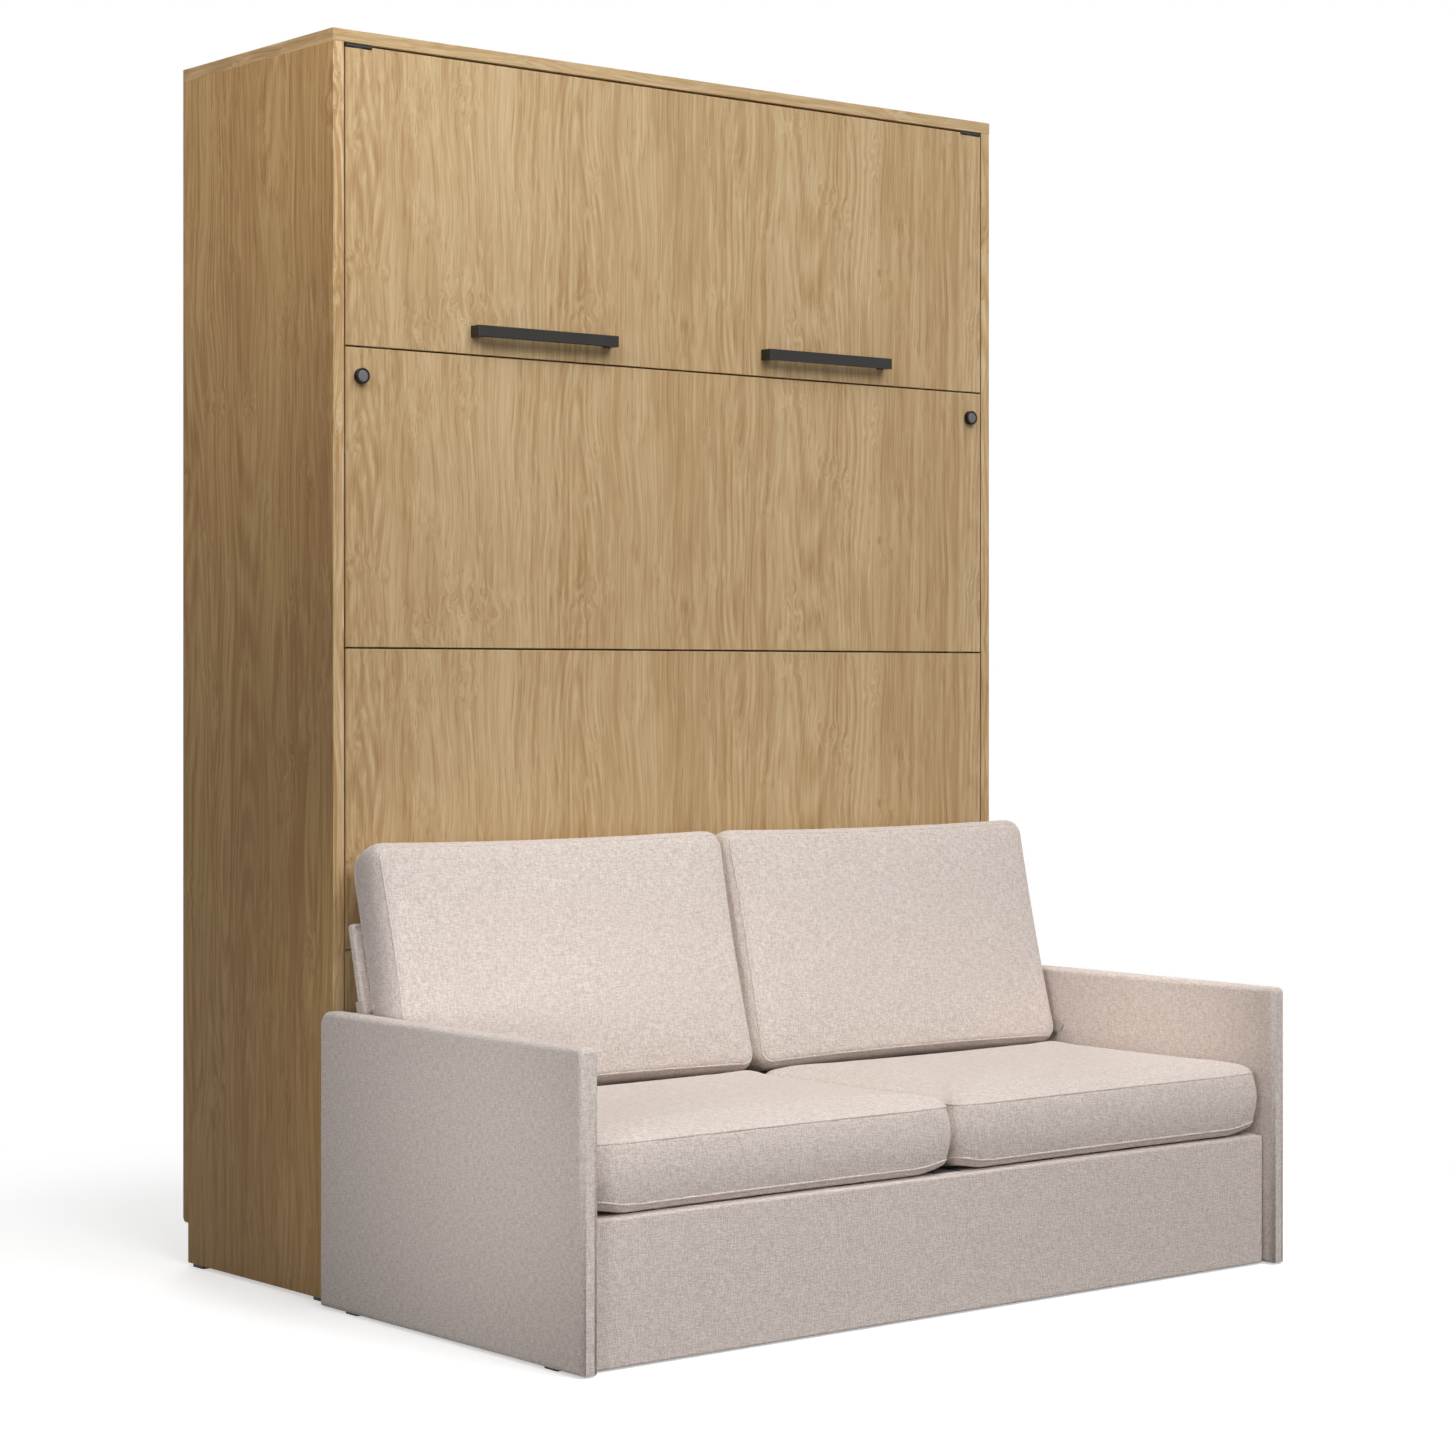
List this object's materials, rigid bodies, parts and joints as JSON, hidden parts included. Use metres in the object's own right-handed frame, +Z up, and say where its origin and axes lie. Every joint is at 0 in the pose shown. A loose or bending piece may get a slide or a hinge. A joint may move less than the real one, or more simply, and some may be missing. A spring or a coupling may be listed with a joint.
{
  "type": "wall bed with sofa",
  "caption": "Upright folding wall bed in an oak cabinet with a fabric sofa in front; the bed swings down over the folding backrest and stands on a fold-out leg.",
  "frame": {"origin": "on the floor under the middle of the whole object", "axes": "+X to the right seen from the front, +Y towards the wall, +Z up"},
  "size_m": [1.6, 1.26, 2.18],
  "materials": {
    "oak_decor": "light oak decor, satin",
    "frame_board": "pale melamine-faced board",
    "slat_beech": "laminated beech",
    "frame_pine": "planed softwood",
    "holder_plastic": "moulded",
    "glide_plastic": "moulded",
    "mattress_cover": "quilted knit",
    "strap_elastic": "woven elastic",
    "sofa_fabric": "melange weave",
    "black_metal": "satin black",
    "black_steel": "powder coated",
    "zinc_steel": "zinc plated",
    "chrome_rod": "hard chrome",
    "stop_rubber": "moulded rubber"
  },
  "bodies": {
    "root": {"side_panel_left": "oak_decor", "side_panel_right": "oak_decor", "top_panel": "oak_decor", "plinth_board": "oak_decor", "rear_top_rail": "oak_decor", "rear_middle_rail": "oak_decor", "rear_bottom_rail": "oak_decor", "wall_brackets": "zinc_steel", "cabinet_feet": "glide_plastic", "pivot_plates": "zinc_steel", "strut_mounts": "zinc_steel", "strike_plates": "zinc_steel", "bed_stops": "stop_rubber", "arm_left": "sofa_fabric", "arm_right": "sofa_fabric", "sofa_apron": "sofa_fabric", "seat_rails": "frame_pine", "seat_battens": "frame_pine", "seat_centre_rail": "frame_pine", "seat_webbing": "strap_elastic", "sofa_feet": "glide_plastic", "sofa_brackets": "zinc_steel", "seat_cushion_left": "sofa_fabric", "seat_cushion_right": "sofa_fabric", "backrest_stops": "zinc_steel"},
    "bed": {"front_panel_lower": "oak_decor", "front_panel_middle": "oak_decor", "front_panel_upper": "oak_decor", "bed_rail_left": "frame_board", "bed_rail_right": "frame_board", "bed_head_rail": "frame_board", "bed_foot_rail": "frame_board", "bed_centre_beam": "frame_board", "slat_ledgers": "frame_board", "slats": "slat_beech", "slat_holders": "holder_plastic", "mattress": "mattress_cover", "mattress_straps": "strap_elastic", "bed_pivot_plates": "zinc_steel", "strut_studs": "zinc_steel", "bed_hinge_leaves": "black_steel"},
    "leg": {"leg_panel": "oak_decor", "leg_hinge_leaves": "black_steel", "leg_glides": "glide_plastic", "handle_bar_left": "black_metal", "handle_bar_right": "black_metal", "handle_posts": "black_metal"},
    "backrest": {"backrest_board": "sofa_fabric", "backrest_bracket_left": "black_steel", "backrest_bracket_right": "black_steel", "back_cushion_left": "sofa_fabric", "back_cushion_right": "sofa_fabric"},
    "strut_tube_left": {"strut_barrel_left": "black_steel"},
    "strut_tube_right": {"strut_barrel_right": "black_steel"},
    "strut_piston_left": {"strut_rod_left": "chrome_rod"},
    "strut_piston_right": {"strut_rod_right": "chrome_rod"},
    "lock_left": {"lock_knob_left": "black_metal", "lock_tongue_left": "zinc_steel"},
    "lock_right": {"lock_knob_right": "black_metal", "lock_tongue_right": "zinc_steel"}
  },
  "joints": [
    {"name": "bed_fold", "type": "hinge", "parent": "root", "child": "bed", "pos_m": [0, 0.15, 0.543], "axis": [1, 0, 0], "range_deg": [0, 90]},
    {"name": "leg_fold", "type": "hinge", "parent": "bed", "child": "leg", "pos_m": [0, 0.1232, 2.154], "axis": [1, 0, 0], "range_deg": [-90, 0]},
    {"name": "backrest_fold", "type": "hinge", "parent": "root", "child": "backrest", "pos_m": [0, -0.088, 0.393], "axis": [1, 0, 0], "range_deg": [0, 104]},
    {"name": "strut_swing_left", "type": "hinge", "parent": "root", "child": "strut_tube_left", "pos_m": [-0.734, 0.45, 0.943], "axis": [1, 0, 0], "range_deg": [0, 4.12]},
    {"name": "strut_slide_left", "type": "slide", "parent": "strut_tube_left", "child": "strut_piston_left", "axis": [0, -0.3579, -0.9337], "range_m": [-0.29776, 0]},
    {"name": "strut_swing_right", "type": "hinge", "parent": "root", "child": "strut_tube_right", "pos_m": [0.734, 0.45, 0.943], "axis": [1, 0, 0], "range_deg": [0, 4.12]},
    {"name": "strut_slide_right", "type": "slide", "parent": "strut_tube_right", "child": "strut_piston_right", "axis": [0, -0.3579, -0.9337], "range_m": [-0.29776, 0]},
    {"name": "lock_turn_left", "type": "hinge", "parent": "bed", "child": "lock_left", "pos_m": [-0.715, 0.12, 1.588], "axis": [0, 1, 0], "range_deg": [0, 90]},
    {"name": "lock_turn_right", "type": "hinge", "parent": "bed", "child": "lock_right", "pos_m": [0.715, 0.12, 1.588], "axis": [0, -1, 0], "range_deg": [0, 90]}
  ],
  "couplings": [
    {"joint": "leg_fold", "follows": "bed_fold", "ratio": -1},
    {"joint": "backrest_fold", "follows": "bed_fold", "ratio": 1.1556},
    {"joint": "strut_swing_left", "follows": "bed_fold", "ratio": 0.045722},
    {"joint": "strut_slide_left", "follows": "bed_fold", "m_per_rad": -0.18956},
    {"joint": "strut_swing_right", "follows": "bed_fold", "ratio": 0.045722},
    {"joint": "strut_slide_right", "follows": "bed_fold", "m_per_rad": -0.18956}
  ]
}
